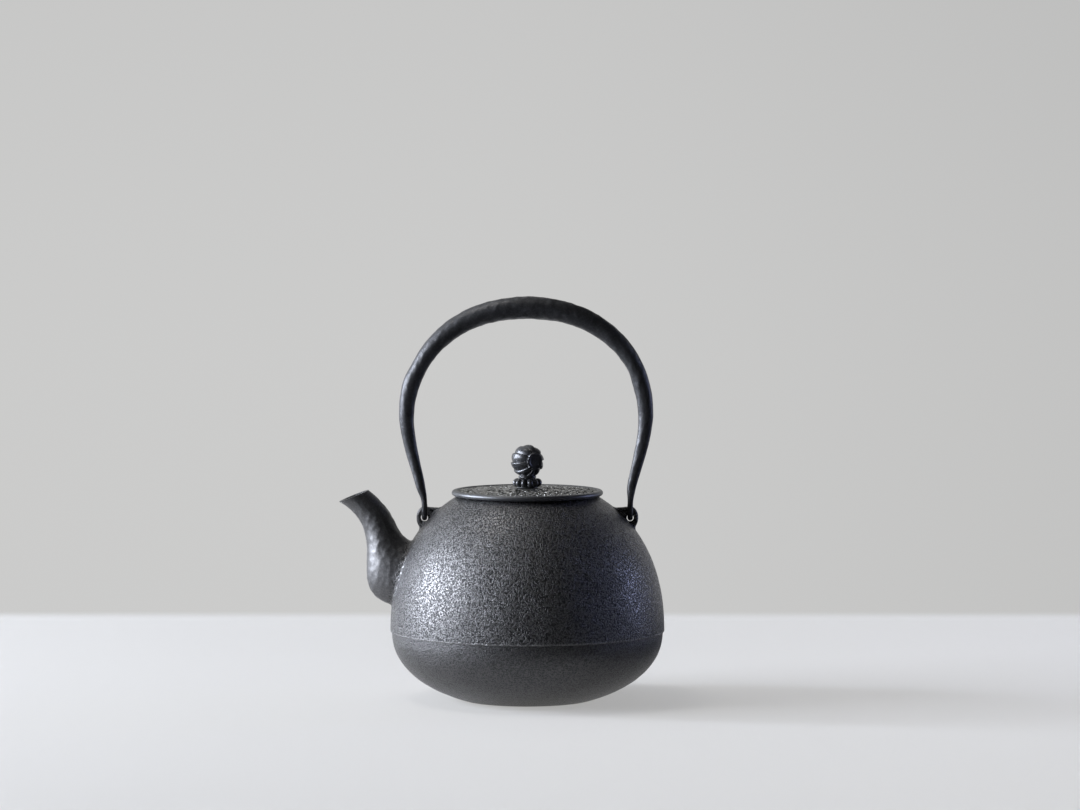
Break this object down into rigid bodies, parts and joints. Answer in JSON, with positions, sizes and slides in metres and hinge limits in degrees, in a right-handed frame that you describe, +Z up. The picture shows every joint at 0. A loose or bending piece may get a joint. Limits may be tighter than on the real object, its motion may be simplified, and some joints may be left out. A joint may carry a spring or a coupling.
{
  "type": "tetsubin kettle",
  "caption": "Round cast iron kettle with a beaked spout, a tall hooked bail handle and a lift-off lid with a turning fluted knob.",
  "frame": {"origin": "middle of the flat base, on the surface that the kettle stands on", "axes": "+Z up; the spout points along -X, the handle stands in the XZ plane and swings about X"},
  "size_m": [0.1958, 0.165, 0.2426],
  "materials": {
    "body_iron": "wrinkled sand-cast skin, black, satin",
    "handle_iron": "forged and baked black, hammered, satin",
    "lid_iron": "black, smooth rim round a grained field",
    "knob_iron": "smooth black, semi-gloss",
    "washer_steel": "dark, dull"
  },
  "bodies": {
    "kettle": {"kettle_body": "body_iron"},
    "bail": {"handle": "handle_iron"},
    "lid_stack": {"knob_seat": "knob_iron"},
    "lid": {"lid": "lid_iron", "knob_washer": "washer_steel"},
    "knob": {"lid_knob": "knob_iron"}
  },
  "joints": [
    {"name": "handle_swing", "type": "hinge", "parent": "kettle", "child": "bail", "pos_m": [0, 0, 0.11392], "axis": [1, 0, 0], "range_deg": [-90, 90]},
    {"name": "lid_lift", "type": "slide", "parent": "kettle", "child": "lid_stack", "axis": [0, 0, 1], "range_m": [0, 0.06]},
    {"name": "lid_turn", "type": "hinge", "parent": "lid_stack", "child": "lid", "pos_m": [0, 0, 0.1255], "axis": [0, 0, 1], "continuous": true},
    {"name": "knob_spin", "type": "hinge", "parent": "lid_stack", "child": "knob", "pos_m": [0, 0, 0.1433], "axis": [0, 0, 1], "continuous": true}
  ]
}
